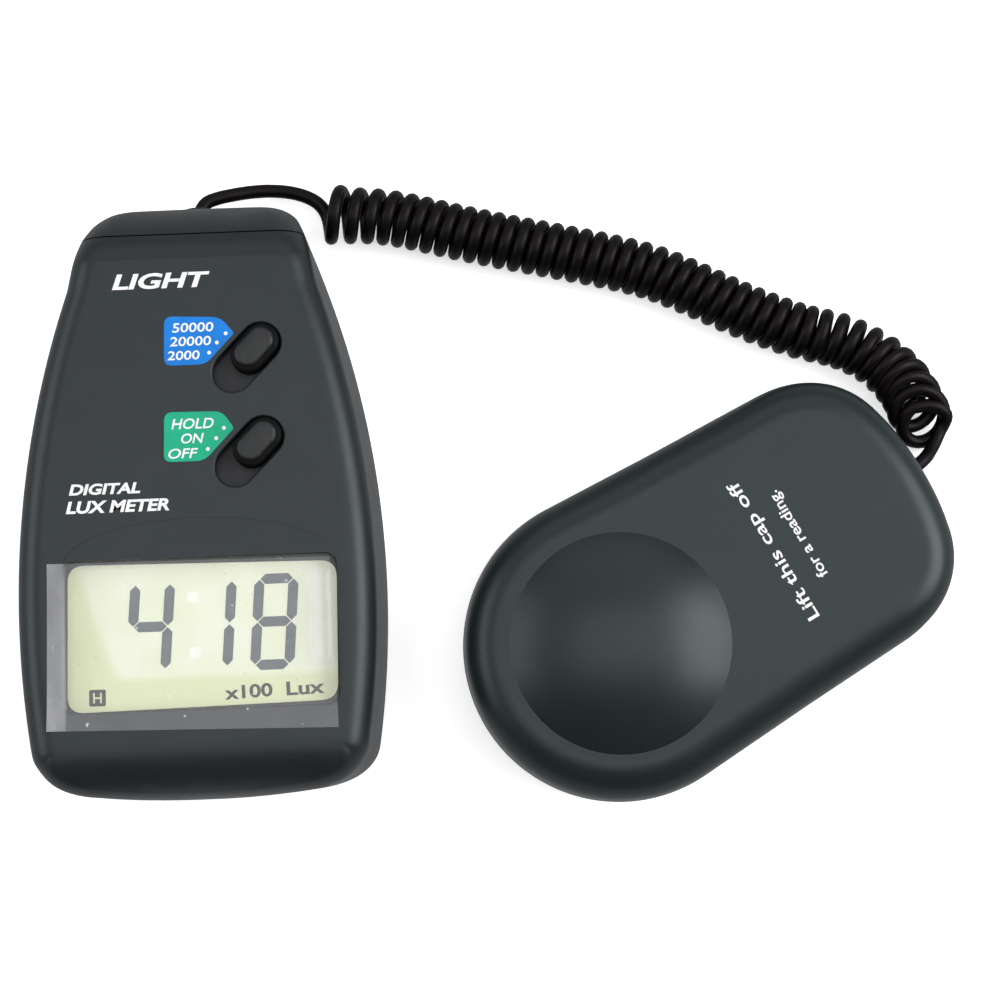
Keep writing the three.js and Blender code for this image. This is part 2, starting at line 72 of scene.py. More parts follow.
DIFFUSER = SimpleNamespace(radius=17.9, flange=19.8, bottom=14.2, neck=17.8, top=24.0, wall=1.5)
BOSSES = [(-25, -50.3), (25, -50.3), (-15, 41), (15, 41)]
BOSS_RADIUS = 3.1
SENSOR_SCREWS = [(-42.4, 0), (30, 18), (30, -18)]
SCREW_HEAD, SCREW_HOLE, SCREW_RECESS, CORD_HOLE = 2.3, 1.5, 2.7, 3  # radii
BAY = SimpleNamespace(x=18.0, y0=-45.7, y1=-34.3, top=14.3, wall=1.5)
DOOR = SimpleNamespace(half_width=20.4, y1=-32.3, thickness=1.9)
CELL = SimpleNamespace(radius=5.15, x0=-11.6, length=28.5, y=-40.0, z=8.2)
UNDER_FACE = 20  # below the meter's face and above its board
METER_ACROSS, SENSOR_ACROSS = (-50, 50), ((-60, 60), (-40, 40))  # past the sides of each unit

# The cord: a thin lead out of the meter, the curly part, and a short lead into the sensor.
WIRE = 1.35  # radius
LEAD_FROM_METER = [
    (-0.6, 52.5, 6.5), (-0.6, 56, 6.5), (-0.5, 58.9, 6.5), (0.7, 60.9, 6.2), (3, 62, 5.6),
    (5.9, 62.8, 4.8), (9, 63.5, 3.8), (12.4, 63.9, 3), (15.6, 63.9, 2.7), (18.6, 63.3, 2.8),
    (21.2, 62.3, 3.1), (23.6, 61, 3.6),
]
COIL = [
    (24.4, 57.6, 5.7), (33, 57.1, 5.7), (40, 56, 5.7), (51.7, 52.9, 5.7), (61, 50.6, 5.7),
    (71, 48.3, 5.7), (81, 45.9, 5.7), (89.8, 43.3, 5.7), (98, 39.6, 5.7), (108, 34.6, 5.7),
    (118, 30.4, 5.7), (127.2, 27.6, 5.7), (134.2, 23.6, 5.7), (139, 18.2, 5.7), (141, 12, 5.7),
]
LEAD_TO_SENSOR = [
    (146.4, 11.6, 2.6), (146.5, 9.4, 2.2), (145.6, 7.2, 2.4), (144.2, 5.2, 3.6), (142.4, 3.3, 5.2),
    (140.2, 1.64, 6), (137.6, 0.2, 6), (134.8, -1.33, 6),
]
TURNS = 43  # of the curly part
TURN_STEPS = 28
HELIX_START = math.radians(-35)
HELIX_END = math.radians(-10)
LEANING = 18  # how much of the curly part's end leans over
LEAN = math.radians(62)

scene = bpy.context.scene
scene.view_settings.view_transform = "Standard"


def link(name, data):
    obj = bpy.data.objects.new(name, data)
    scene.collection.objects.link(obj)
    return obj


# ---- Camera ----

def place_camera(position, forward, up, lens):
    data = bpy.data.cameras.new("camera")
    data.lens, data.sensor_width, data.clip_start = lens, 36, 0.01
    scene.camera = link("camera", data)
    ahead = Vector(forward).normalized()
    right = ahead.cross(Vector(up)).normalized()
    turn = Matrix((right, right.cross(ahead), -ahead)).transposed()
    scene.camera.matrix_world = Matrix.Translation(position) @ turn.to_4x4()


place_camera((0.0557, -0.0521, 0.3993), (0.0049, 0.127, -0.9919), (0.0383, 0.9911, 0.1271), 72)


# ---- Mesh tools ----

def solid(name, verts, faces):
    mesh = bpy.data.meshes.new(name)
    mesh.from_pydata([tuple(map(float, v)) for v in verts], [], faces)
    return link(name, mesh)


def at_height(points, z):
    """Flat points lifted to one height, or to one height each."""
    return np.column_stack([points, np.broadcast_to(z, len(points))])


def loft(name, rings, top_faces=None, extra=()):
    """A closed solid through rings of as many points each, anticlockwise and from the bottom up."""
    count = len(rings[0])
    faces = [tuple(reversed(range(count)))]
    for r in range(len(rings) - 1):
        low, high = r * count, (r + 1) * count
        for i in range(count):
            j = (i + 1) % count
            faces.append((low + i, low + j, high + j, high + i))
    last = (len(rings) - 1) * count
    if top_faces is None:
        faces.append(tuple(range(last, last + count)))
    else:
        faces.extend(tuple(last + i for i in face) for face in top_faces)
    return solid(name, np.vstack([*rings, *extra]), faces)


def evaluated(obj):
    depsgraph = bpy.context.evaluated_depsgraph_get()
    return bpy.data.meshes.new_from_object(obj.evaluated_get(depsgraph))


def boolean(obj, how, *others):
    """Cuts or joins solids one after another, and leaves only the result."""
    for other in others:
        step = obj.modifiers.new("step", "BOOLEAN")
        step.operation = how
        step.solver = "MANIFOLD"
        step.object = other
        mesh = evaluated(obj)
        obj.modifiers.clear()
        obj.data = mesh
        bpy.data.objects.remove(other)
    return obj


def cut(obj, *others):
    return boolean(obj, "DIFFERENCE", *others)


def joined(obj, *others):
    return boolean(obj, "UNION", *others)


def common(obj, *others):
    return boolean(obj, "INTERSECT", *others)


def copied(obj):
    return link(obj.name + "_copy", obj.data.copy())


def quarter(steps):
    """Angles from nought to a right angle."""
    return np.linspace(0, math.pi / 2, steps + 1)


def inward(outline):
    """The inward direction at each point of an anticlockwise outline."""
    along = np.roll(outline, -1, 0) - np.roll(outline, 1, 0)
    along /= np.linalg.norm(along, axis=1)[:, None]
    return np.column_stack([-along[:, 1], along[:, 0]])


def slab(outline, z0, z1):
    return loft("slab", [at_height(outline, z0), at_height(outline, z1)])


def block(x, y, z):
    return slab(np.array([(x[0], y[0]), (x[1], y[0]), (x[1], y[1]), (x[0], y[1])], float), *z)


def arc(centre, radius, angles):
    return np.column_stack([centre[0] + radius * np.cos(angles), centre[1] + radius * np.sin(angles)])


def circle(centre, radius, sides):
    return arc(centre, radius, np.arange(sides) / sides * 2 * math.pi)


def post(centre, radius, z, sides=40):
    return slab(circle(centre, radius, sides), *z)


def posts(places, radius, z):
    return [post(place, radius, z) for place in places]


def stadium(length, width):
    """A slot outline about the origin, along X."""
    right = arc(((length - width) / 2, 0), width / 2, np.linspace(-math.pi / 2, math.pi / 2, 21))
    return np.vstack([right, -right])


def rounded(corners, radii):
    """An anticlockwise polygon with its corners rounded off, by one length or by one each."""
    corners = np.array(corners, float)
    radii = np.broadcast_to(radii, len(corners))
    points = []
    for i, corner in enumerate(corners):
        before = corners[i - 1] - corner
        after = corners[(i + 1) % len(corners)] - corner
        start = corner + before / np.linalg.norm(before) * radii[i]
        end = corner + after / np.linalg.norm(after) * radii[i]
        for t in np.linspace(0, 1, 7):
            points.append((1 - t) ** 2 * start + 2 * t * (1 - t) * corner + t * t * end)
    return np.array(points)


def plate_corners(x, y, width, height):
    w, h = width / 2, height / 2
    return [(x - w, y - h), (x + w, y - h), (x + w, y + h), (x - w, y + h)]


def turned_by(points, angle, place=(0, 0)):
    c, s = math.cos(angle), math.sin(angle)
    points = np.asarray(points, float)
    return np.column_stack([c * points[:, 0] - s * points[:, 1] + place[0],
                            s * points[:, 0] + c * points[:, 1] + place[1]])


def flared(outline, z0, top, lip):
    """A cutter for a hole whose upper edge is rounded by lip at height top."""
    outward = -inward(outline)
    rings = [at_height(outline, z0)]
    for a in quarter(5):
        rings.append(at_height(outline + outward * lip * (1 - math.cos(a)), top - lip + lip * math.sin(a)))
    rings.append(at_height(outline + outward * lip, top + 3))
    return loft("cutter", rings)


def button(outline, z0, z1, rim, crown=0.0):
    """An upright solid with its upper edge rounded by rim, and a slightly crowned top."""
    normal = inward(outline)
    rings = [at_height(outline, z0), at_height(outline, (z0 + z1 - rim) / 2)]
    for a in quarter(6):
        rings.append(at_height(outline + normal * rim * (1 - math.cos(a)), z1 - rim + rim * math.sin(a)))
    centre = outline.mean(axis=0)
    inner = rings[-1][:, :2]
    for share in (0.75, 0.5, 0.25):
        ring = centre + (inner - centre) * share
        rings.append(at_height(ring, z1 + crown * (1 - share ** 2)))
    return loft("button", rings)


def lathe(profile, centre=(0, 0), sides=64):
    """A profile of (radius, height) pairs turned about an upright axis and closed at both ends."""
    rings = [at_height(circle(centre, max(radius, 0.004), sides), z) for radius, z in profile]
    return loft("lathe", rings)


def dome_profile(radius, height, z):
    """A spherical cap standing on z: (radius, height) pairs from its rim to the top."""
    sphere = (radius ** 2 + height ** 2) / (2 * height)
    opening = math.asin(radius / sphere)
    return [(sphere * math.sin(a), z + height - sphere + sphere * math.cos(a))
            for a in np.linspace(opening, 0, 25)]


def body_solid(name, outline, top, fillet, base=0.0, base_edge=2.5, rows=(), belt=0.0, taper=0.0,
               draft=0.0):
    """A solid on an outline, with rounded lower and upper edges and an upper surface top(y). Its walls
    lean in by taper above the height belt and by draft below it. rows are the places along Y where the
    surface bends."""
    normal = inward(outline)
    fillet = np.broadcast_to(fillet, len(outline))
    wall_top = top(outline[:, 1]) - fillet
    rings = []

    def drawn_in(distance, z):
        lean = taper * np.clip((z - belt) / np.maximum(wall_top - belt, 1), 0, 1)
        lean = lean + draft * np.clip((belt - z) / max(belt, 1), 0, 1)
        return outline + normal * (distance + lean)[:, None]

    for a in quarter(5):
        z = base + base_edge * (1 - math.cos(a))
        rings.append(at_height(drawn_in(base_edge * (1 - math.sin(a)), z), z))
    foot = base + base_edge
    for share in (0.2, 0.35, 0.5, 0.65, 0.8):
        z = foot + (wall_top - foot) * share
        rings.append(at_height(drawn_in(np.zeros(len(outline)), z), z))
    for a in quarter(12):
        ring = drawn_in(fillet * (1 - math.cos(a)), wall_top)
        rings.append(at_height(ring, top(ring[:, 1]) - fillet * (1 - math.sin(a))))
    if not len(rows):
        return loft(name, rings)
    edge = rings[-1][:, :2]
    inner = drawn_in(fillet + 0.6, wall_top)
    middle = []
    for y in rows:
        crossing = [p + (q - p) * (y - p[1]) / (q[1] - p[1])
                    for p, q in zip(inner, np.roll(inner, -1, 0)) if (p[1] - y) * (q[1] - y) < 0]
        if len(crossing) == 2:
            low, high = sorted(point[0] for point in crossing)
            middle.extend((x, y) for x in np.linspace(low, high, 14))
    flat = [Vector(point) for point in [*edge, *middle]]
    faces, origin = delaunay_2d_cdt(flat, [], [list(range(len(edge)))], 1, 1e-7)[2:4]
    faces = [[origin[i][0] for i in face] for face in faces]
    extra = np.array(middle)
    return loft(name, rings, faces, [at_height(extra, top(extra[:, 1]))])


def shade(obj, angle=32):
    """Smooth shading with hard edges only where the surface turns sharply."""
    mesh = obj.data
    mesh.polygons.foreach_set("use_smooth", [True] * len(mesh.polygons))
    mesh.set_sharp_from_angle(angle=math.radians(angle))
    weighted = obj.modifiers.new("normals", "WEIGHTED_NORMAL")
    weighted.keep_sharp = True
    weighted.weight = 100
    return obj


def placed(x, y, z=0, turn=0, axis="Z"):
    return Matrix.Translation((x, y, z)) @ Matrix.Rotation(turn, 4, axis)


def finished(obj, name, body, material, nodes=(), place=Matrix()):
    """Names a piece, turns it into metres in the object's frame, and puts it on its CAD body. Pieces of
    the sensor and its cap are drawn about the sensor's own centre."""
    obj.name = name
    obj.data.name = name
    if body in ("sensor", "cap"):
        place = placed(*SENSOR.centre, turn=SENSOR.turn) @ place
    obj.data.transform(Matrix.Scale(MM, 4) @ place)
    obj.data.materials.clear()
    obj.data.materials.append(material)
    shade(obj)
    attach(obj, body)
    if nodes:
        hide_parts(*nodes)
    return obj


# ---- Materials ----

def new_material(name):
    material = bpy.data.materials.new(name)
    material.use_nodes = True
    tree = material.node_tree
    return material, tree, tree.nodes["Principled BSDF"]


def feed(tree, socket, value):
    """Sets a socket's value, or links another node's output to it."""
    if isinstance(value, bpy.types.NodeSocket):
        tree.links.new(value, socket)
    else:
        socket.default_value = value


def add(tree, kind, **values):
    node = tree.nodes.new(kind)
    for key, value in values.items():
        if key in node.inputs:
            feed(tree, node.inputs[key], value)
        else:
            setattr(node, key, value)
    return node


def coordinates(tree, kind="Object"):
    return add(tree, "ShaderNodeTexCoord").outputs[kind]


def noise(tree, scale, detail=3.0, stretch=None):
    place = coordinates(tree)
    if stretch:
        place = add(tree, "ShaderNodeMapping", Vector=place, Scale=stretch).outputs["Vector"]
    return add(tree, "ShaderNodeTexNoise", Vector=place, Scale=scale, Detail=detail).outputs["Fac"]


def ramp(tree, source, stops):
    node = add(tree, "ShaderNodeValToRGB", Fac=source)
    elements = node.color_ramp.elements
    while len(elements) < len(stops):
        elements.new(0.5)
    for element, (position, colour) in zip(elements, stops):
        element.position = position
        element.color = (*colour, 1)
    return node.outputs["Color"]


def remap(tree, source, low, high, start=0.3, end=0.7, kind="LINEAR"):
    node = add(tree, "ShaderNodeMapRange", interpolation_type=kind, Value=source)
    for name, value in (("From Min", start), ("From Max", end), ("To Min", low), ("To Max", high)):
        node.inputs[name].default_value = value
    return node.outputs["Result"]


def soft_step(tree, source, start, end):
    return remap(tree, source, 0, 1, start, end, "SMOOTHSTEP")


def math_node(tree, operation, a, b):
    node = add(tree, "ShaderNodeMath", operation=operation)
    for socket, value in zip(node.inputs, (a, b)):
        feed(tree, socket, value)
    return node.outputs["Value"]


def total(tree, operation, first, *others):
    """One value made from several, by the same operation each time."""
    for other in others:
        first = math_node(tree, operation, first, other)
    return first


def bump(tree, shader, height, distance, strength=1.0):
    node = add(tree, "ShaderNodeBump", Strength=strength, Distance=distance, Height=height)
    tree.links.new(node.outputs["Normal"], shader.inputs["Normal"])


def shades(colour, spread):
    return [(0.3, [c * (1 - spread) for c in colour]), (0.7, [c * (1 + spread) for c in colour])]


def clouded(tree, shader, scale, colour, spread):
    tree.links.new(ramp(tree, noise(tree, scale), shades(colour, spread)), shader.inputs["Base Color"])


def surface(name, colour, rough=(0.35, 0.5), metallic=0.0, cloud=60.0, spread=0.12, grain=3500.0,
            depth=0.00002, strength=0.35, specular=0.5, stretch=None, specks=0.0, tint=(1, 1, 1)):
    """A moulded or worked surface: clouded colour, uneven gloss, a fine grain and some dust."""
    material, tree, shader = new_material(name)
    shader.inputs["Metallic"].default_value = metallic
    shader.inputs["Specular IOR Level"].default_value = specular
    shader.inputs["Specular Tint"].default_value = (*tint, 1)
    colours = ramp(tree, noise(tree, cloud, 4.0, stretch), shades(colour, spread))
    if specks:
        dust = ramp(tree, noise(tree, 1500.0, 1.0), [(0.74, (0, 0, 0)), (0.78, (specks,) * 3)])
        mix = add(tree, "ShaderNodeMix", data_type="RGBA", blend_type="ADD")
        mix.inputs[0].default_value = 1.0
        tree.links.new(colours, mix.inputs[6])
        tree.links.new(dust, mix.inputs[7])
        colours = mix.outputs[2]
    tree.links.new(colours, shader.inputs["Base Color"])
    tree.links.new(remap(tree, noise(tree, cloud * 3, 5.0), *rough), shader.inputs["Roughness"])
    bump(tree, shader, noise(tree, grain, 2.0, stretch), depth, strength)
    return material


METER_PLASTIC = surface("meter_plastic", (0.0085, 0.0105, 0.012), (0.38, 0.42), spread=0.05, grain=2600.0,
                        specks=0.012, tint=(0.86, 0.96, 1.0), specular=0.43)
SENSOR_PLASTIC = surface("sensor_plastic", (0.007, 0.0115, 0.012), (0.37, 0.41), spread=0.05, grain=2200.0,
                         strength=0.5, specks=0.01, tint=(0.84, 0.97, 1.0), specular=0.43)
REAR_PLASTIC = surface("rear_plastic", (0.008, 0.01, 0.0112), (0.4, 0.48), spread=0.06, grain=1600.0,
                       strength=0.6, specular=0.42, tint=(0.86, 0.96, 1.0))
KNOB_PLASTIC = surface("knob_plastic", (0.007, 0.008, 0.009), (0.38, 0.5), grain=1000.0, strength=1.0,
                       specular=0.42, depth=0.00012)
SKIRT_PLASTIC = surface("skirt_plastic", (0.014, 0.015, 0.017), (0.45, 0.6), grain=1500.0, strength=0.6,
                        specular=0.35)
# A darker copy of the knob plastic, for the grip: painted shade on the knob's sides.
KNOB_SHADED_SIDES = surface("knob_sides_painted_shade", (0.003, 0.0033, 0.0036), (0.5, 0.6), grain=1500.0, specular=0.1)
CORD_RUBBER = surface("cord_rubber", (0.0024, 0.0016, 0.0022), (0.36, 0.46), cloud=200.0, grain=5000.0,
                      specular=0.13, tint=(1.0, 0.9, 0.97))
BUSH_RUBBER = surface("bush_rubber", (0.007, 0.007, 0.0075), (0.5, 0.65), grain=4000.0)
FRAME_PLASTIC = surface("frame_plastic", (0.0025, 0.0025, 0.003), (0.5, 0.6), specular=0.15)
STEEL = surface("steel", (0.55, 0.56, 0.58), (0.25, 0.4), 1.0, 500.0, 0.15, stretch=(1, 6, 1))
NICKEL = surface("nickel", (0.6, 0.56, 0.48), (0.2, 0.35), 1.0, 400.0, 0.1)
PHENOLIC = surface("phenolic", (0.19, 0.09, 0.035), (0.5, 0.7), cloud=700.0, spread=0.3)
BOARD_GREEN = surface("board_green", (0.012, 0.13, 0.04), (0.3, 0.5), cloud=300.0, spread=0.35)
CHIP_BLACK = surface("chip_black", (0.008, 0.008, 0.008), (0.5, 0.7), grain=6000.0)
TRIMMER_BLUE = surface("trimmer_blue", (0.02, 0.09, 0.4), (0.3, 0.5))
CELL_JACKET = surface("cell_jacket", (0.27, 0.03, 0.025), (0.2, 0.35), cloud=150.0, spread=0.2)
DIFFUSER_WHITE = surface("diffuser_white", (0.84, 0.84, 0.8), (0.45, 0.6), cloud=90.0, spread=0.03)
FILTER_GREEN = surface("filter_green", (0.03, 0.2, 0.12), (0.05, 0.15), cloud=100.0, spread=0.2)
PRINT_WHITE = surface("print_white", (0.8, 0.8, 0.8), (0.45, 0.6), cloud=900.0, spread=0.12)
LABEL_BLUE, LABEL_GREEN = (
    surface(name, colour, (0.35, 0.5), cloud=300.0, spread=0.08, specular=0.25)
    for name, colour in (("label_blue", (0.001, 0.175, 0.6)), ("label_green", (0.006, 0.35, 0.19))))
SEGMENT_GREY, LEGEND_GREY = (
    surface(name, colour, (0.3, 0.4), cloud=700.0, spread=0.12, specular=0.2)
    for name, colour in (("segment_grey", (0.105, 0.12, 0.135)), ("legend_grey", (0.018, 0.02, 0.018))))


def object_axes(tree):
    split = add(tree, "ShaderNodeSeparateXYZ", Vector=coordinates(tree))
    return split.outputs["X"], split.outputs["Y"]


def spot(tree, x, y, place, radius):
    """A soft round patch, one at its middle."""
    sides = [math_node(tree, "SUBTRACT", axis, at * MM) for axis, at in zip((x, y), place)]
    square = total(tree, "ADD", *[math_node(tree, "POWER", side, 2.0) for side in sides])
    distance = math_node(tree, "SQRT", square, 0.0)
    return soft_step(tree, distance, radius * 1.15 * MM, radius * 0.6 * MM)


def lcd_material():
    """Pale green-yellow glass with a painted reflection of a soft light that makes it lighter in the
    middle, and the two unlit dots of a colon.
    """
    material, tree, shader = new_material("lcd_glass")
    x, y = object_axes(tree)
    # Painted reflection: lighter in the middle, darker and yellower towards the left and lower edges.
    lean = math_node(tree, "ADD", x, math_node(tree, "MULTIPLY", y, 0.32))
    patch = total(tree, "MULTIPLY", soft_step(tree, lean, -0.0285, -0.0255),
                  soft_step(tree, y, -0.0362, -0.0345), 0.75)
    for place in ((-0.87, -20.2), (-0.57, -30.7)):
        patch = math_node(tree, "MAXIMUM", patch, spot(tree, x, y, place, 1.5))
    patch = math_node(tree, "ADD", patch, remap(tree, noise(tree, 120.0), -0.08, 0.08))
    stops = [(0.0, (0.74, 0.78, 0.47)), (0.7, (0.84, 0.88, 0.64)), (1.0, (0.97, 0.98, 0.90))]
    tree.links.new(ramp(tree, patch, stops), shader.inputs["Base Color"])
    tree.links.new(remap(tree, noise(tree, 900.0), 0.3, 0.42), shader.inputs["Roughness"])
    bump(tree, shader, noise(tree, 3000.0), 0.00001, 0.2)
    return material


def film_material():
    """Thin clear film with specks of dust. Painted reflection on it is streaky and whiter at its left
    edge, faint along its lower edge, with painted highlights on two ridges.
    """
    material, tree, shader = new_material("protective_film")
    shader.inputs["Roughness"].default_value = 0.22
    x, y = object_axes(tree)
    # Painted reflection: a streaky whiter band along the left edge, and a faint one along the lower edge.
    glare_streaks = remap(tree, noise(tree, 130.0, 4.0, (1, 0.35, 1)), 0.4, 1.25)
    painted_glare = total(tree, "MULTIPLY", soft_step(tree, x, -0.0236, -0.0246), 0.17, glare_streaks)
    low = math_node(tree, "MULTIPLY", soft_step(tree, y, -0.0406, -0.0416), 0.03)
    painted_glare = math_node(tree, "MAXIMUM", painted_glare, low)
    # Painted highlights along two ridges near the right edge.
    for line, width, strength in ((22.6, 2.2, 0.22), (24.9, 0.8, 0.16)):
        offset = math_node(tree, "ABSOLUTE", math_node(tree, "SUBTRACT", x, line * MM), 0.0)
        ends = math_node(tree, "MULTIPLY", soft_step(tree, y, -0.0345, -0.031),
                         soft_step(tree, y, -0.0145, -0.018))
        ridge = total(tree, "MULTIPLY", soft_step(tree, offset, width * MM, 0.0), ends, strength)
        painted_glare = math_node(tree, "ADD", painted_glare, ridge)
    specks = remap(tree, noise(tree, 700.0, 1.0), 0.0, 0.35, 0.74, 0.8)
    tree.links.new(total(tree, "ADD", painted_glare, specks, 0.04), shader.inputs["Alpha"])
    clouded(tree, shader, 200.0, (0.8, 0.8, 0.83), 0.06)
    bump(tree, shader, noise(tree, 90.0), 0.0004, 0.3)
    return material


def window_material():
    material, tree, shader = new_material("window_clear")
    clouded(tree, shader, 200.0, (0.75, 0.78, 0.76), 0.05)
    tree.links.new(remap(tree, noise(tree, 150.0), 0.04, 0.09), shader.inputs["Roughness"])
    shader.inputs["Alpha"].default_value = 0.05
    shader.inputs["Specular IOR Level"].default_value = 0.15
    return material


LCD_GLASS = lcd_material()
FILM = film_material()
WINDOW = window_material()


# ---- Cord ----

def run_along(line):
    """The distance along a line to each of its points."""
    return np.concatenate([[0], np.cumsum(np.linalg.norm(np.diff(line, axis=0), axis=1))])


def points_at(places, run, line):
    """The points of a line at some distances along it."""
    return np.column_stack([np.interp(places, run, column) for column in line.T])


def resampled(line, spacing):
    run = run_along(line)
    return points_at(np.linspace(0, run[-1], max(2, round(run[-1] / spacing)) + 1), run, line)


def smooth_line(places, spacing):
    """A Catmull-Rom curve through a list of points."""
    p = np.array(places, float)
    p = np.vstack([2 * p[0] - p[1], p, 2 * p[-1] - p[-2]])
    line = []
    for i in range(1, len(p) - 2):
        a, b, c, d = p[i - 1], p[i], p[i + 1], p[i + 2]
        for t in np.arange(0, 1, 0.04):
            line.append(0.5 * (2 * b + (c - a) * t + (2 * a - 5 * b + 4 * c - d) * t * t
                               + (3 * b - a - 3 * c + d) * t ** 3))
    line.append(p[-2])
    return resampled(np.array(line), spacing)


def helix(axis):
    """The curly part's wire about its middle line. Its last turns lean over towards the table."""
    line = smooth_line(axis, 0.1)[:, :2]
    run = run_along(line)
    end = run[-1]
    pitch = np.interp(run, [0, 4, 10, 18, end - 30, end - 14, end - 7, end],
                      [3.8, 3.6, 3.2, 2.8, 2.8, 3.0, 2.4, 2.2])
    turns = np.concatenate([[0], np.cumsum(np.diff(run) / pitch[:-1])])
    whole = TURNS - (HELIX_END - HELIX_START) / (2 * math.pi)
    count = round(whole * TURN_STEPS)
    s = np.interp(np.linspace(0, whole, count + 1), turns * whole / turns[-1], run)
    tangent = points_at(s + 0.5, run, line) - points_at(s - 0.5, run, line)
    tangent /= np.linalg.norm(tangent, axis=1)[:, None]
    side = np.column_stack([-tangent[:, 1], tangent[:, 0]])
    radius = np.interp(s, [0, 3, 7, end - 16, end - 3], [4.75, 4.75, 4.38, 4.34, 4.85])
    share = np.clip((s - end + LEANING) / LEANING, 0, 1)
    lean = LEAN * share ** 2 * (3 - 2 * share)
    angle = HELIX_START - 2 * math.pi * whole * np.arange(count + 1) / count
    upward = radius * np.sin(angle)
    sideways = radius * np.cos(angle) + 2.8 * share ** 4
    ahead = 3.2 * share ** 2 - upward * np.sin(lean)
    flat = points_at(s, run, line) + side * sideways[:, None] + tangent * ahead[:, None]
    return at_height(flat, 0.2 + WIRE + (radius + upward) * np.cos(lean))


def eased(line, joins):
    """Takes the corner out of a line near some of its points."""
    reach, line = 10, line.copy()
    for _ in range(14):
        middle = (np.roll(line, 1, 0) + np.roll(line, -1, 0)) / 2
        for join in joins:
            near = slice(max(1, join - reach), min(len(line) - 1, join + reach))
            line[near] += 0.5 * (middle[near] - line[near])
    return line


def tube(name, path, radius, sides):
    """A round tube with a ring at each point of a path."""
    tangents = np.gradient(path, axis=0)
    tangents /= np.linalg.norm(tangents, axis=1)[:, None]
    side = np.cross(tangents[0], (0, 0, 1.0))
    side /= np.linalg.norm(side)
    rings = []
    for point, tangent in zip(path, tangents):
        side = side - tangent * (side @ tangent)
        side /= np.linalg.norm(side)
        other = np.cross(tangent, side)
        angles = np.arange(sides) / sides * 2 * math.pi
        rings.append(point + radius * (np.outer(np.cos(angles), side) + np.outer(np.sin(angles), other)))
    return loft(name, rings)


def make_cord():
    spacing = 0.9
    lead = smooth_line(LEAD_FROM_METER, spacing)[:-3]
    curly = helix(COIL)
    tail = smooth_line(LEAD_TO_SENSOR, spacing)
    path = eased(np.vstack([lead, curly, tail]), (len(lead), len(lead) + len(curly)))
    cord = tube("cord", path, WIRE, 12)
    cord.data.transform(Matrix.Scale(MM, 4))
    cord.data.materials.append(CORD_RUBBER)
    shade(cord, 60)
    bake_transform(cord)
    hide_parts("cord_lead_meter", "cord_coil", "cord_lead_sensor")


make_cord()


# ---- Meter: covers ----

def bezier(steps, *points):
    """A line or an arc with two to four control points, without its end."""
    t = np.linspace(0, 1, steps, endpoint=False)[:, None]
    level = [np.array(point, float) for point in points]
    while len(level) > 1:
        level = [a + (b - a) * t for a, b in zip(level, level[1:])]
    return level[0]


def even_outline(half, count):
    """Mirrors a half outline about X = 0 and spaces its points evenly."""
    half = np.array(half)
    closed = np.vstack([half, half[-2:0:-1] * (-1, 1), half[:1]])
    run = run_along(closed)
    return points_at(np.linspace(0, run[-1], count, endpoint=False), run, closed)


def meter_outline():
    m, low, high = METER, METER.bottom, METER.top
    angles = [math.asin((y - m.widest[1]) / m.side_radius) for y in (m.side_from, m.side_to)]
    side = arc((m.widest[0] - m.side_radius, m.widest[1]), m.side_radius, np.linspace(*angles, 90))
    return even_outline([
        *bezier(24, (0, low), (11, low), (20, low + 1.1)),
        *bezier(30, (20, low + 1.1), (31.3, low + 2.1), side[0]),
        *side[:-1],
        *bezier(24, side[-1], (18.8, high - 0.9), (12.5, high - 0.3)),
        *bezier(12, (12.5, high - 0.3), (6, high), (0, high)),
        (0, high),
    ], 340)


def meter_height(y, drop=0.0):
    """The upper surface: flat, with a full round under the display and a slope at the cord end."""
    m = METER
    y = np.clip(np.asarray(y, float), m.bottom, m.top)
    low = np.clip((m.bottom + m.end_radius - y) / m.end_radius, 0, 1)
    end = m.end_radius * (1 - (1 - low ** m.end_power) ** (1 / m.end_power))
    share = np.clip((y - m.slope_from) / (m.top - m.slope_from), 0, 1)
    slope = m.slope_drop * (1 - (1 - share ** m.slope_power) ** (1 / m.slope_power))
    return m.thickness - end - slope - drop


def meter_solid(name, inset=0.0):
    m, outline = METER, meter_outline()
    normal = inward(outline)
    sideways = np.clip(np.abs(normal[:, 0]) / 0.85, 0, 1)
    blend = sideways ** 2 * (3 - 2 * sideways)
    fillet = np.maximum(m.end_fillet + (m.side_fillet - m.end_fillet) * blend - inset, 0.8)
    rows = [*np.arange(m.bottom + 0.5 + inset, m.bottom + m.end_radius + 0.2, 0.6),
            *np.arange(m.slope_from - 0.1, m.top - 0.6 - inset, 0.6)]
    lean = blend * np.clip((m.lean_end - outline[:, 1]) / m.lean_fade, 0, 1)
    return body_solid(name, outline + normal * inset, lambda y: meter_height(y, inset), fillet, base=inset,
                      base_edge=max(m.rear_edge - inset, 0.5), rows=rows, belt=m.seam_z,
                      taper=m.taper * lean, draft=m.draft * lean)


def slot_cutter(place):
    outline = turned_by(stadium(SLOT.length, SLOT.width), SLOT.turn, place)
    return flared(outline, UNDER_FACE, METER.thickness, SLOT.lip)


def arch_cutter():
    """A very shallow scoop above the display, with an arched upper edge."""
    centre, half_width, rise = np.array((0.95, -14.0)), 25.4, 8.4
    angles = np.linspace(0, math.pi, 49)
    rim = np.column_stack([centre[0] + half_width * np.cos(angles), centre[1] + rise * np.sin(angles)])
    face = METER.thickness
    rings = []
    for share, depth in ((0.2, 0.55), (0.6, 0.36), (1.0, 0.12)):
        rings.append(at_height(centre + (rim - centre) * share, face - depth))
    rings.append(at_height(rim, face + 3))
    return loft("scoop", rings)


